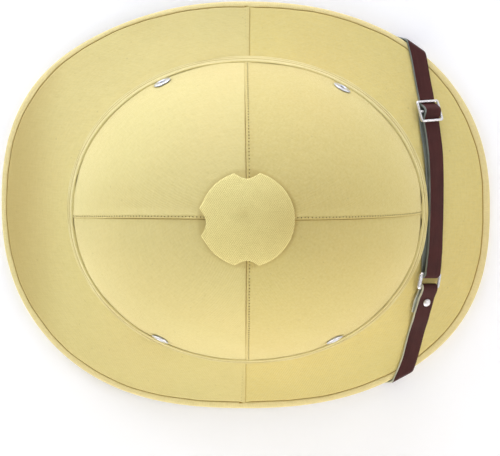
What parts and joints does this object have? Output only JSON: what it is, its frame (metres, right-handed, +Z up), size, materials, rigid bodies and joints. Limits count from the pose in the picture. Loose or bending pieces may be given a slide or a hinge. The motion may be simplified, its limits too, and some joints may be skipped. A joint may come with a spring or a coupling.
{
  "type": "pith helmet",
  "caption": "Cloth-covered pith helmet with a sewn crown, hat band, domed vent cap, nickel eyelets and a leather chin strap worn up over the front brim.",
  "frame": {"origin": "under the middle of the helmet, on the surface that its rim rests on", "axes": "+X towards the helmet's front, +Y towards its left side, +Z up through the crown"},
  "size_m": [0.3385, 0.2787, 0.1398],
  "materials": {
    "cloth": "fine cotton twill, matt",
    "band_cloth": "folded cotton twill, matt",
    "binding_cloth": "woven cotton binding, matt",
    "body": "plain moulded fibre body, matt",
    "leather": "oxblood-brown strap leather, worn satin",
    "nickel": "nickel plate, slightly dulled"
  },
  "bodies": {
    "root": {"shell": "body", "crown_cover_1": "cloth", "crown_cover_2": "cloth", "crown_cover_3": "cloth", "crown_cover_4": "cloth", "brim_cover_front": "cloth", "brim_cover_back": "cloth", "vent_cap": "cloth", "hat_band": "band_cloth", "brim_binding": "binding_cloth", "strap_upper": "leather", "strap_lower": "leather", "cap_post": "nickel", "eyelet_1": "nickel", "eyelet_2": "nickel", "eyelet_3": "nickel", "eyelet_4": "nickel", "slide_buckle": "nickel", "strap_ring": "nickel", "strap_rivet": "nickel", "strap_stud_left": "nickel", "strap_stud_right": "nickel"}
  },
  "joints": []
}
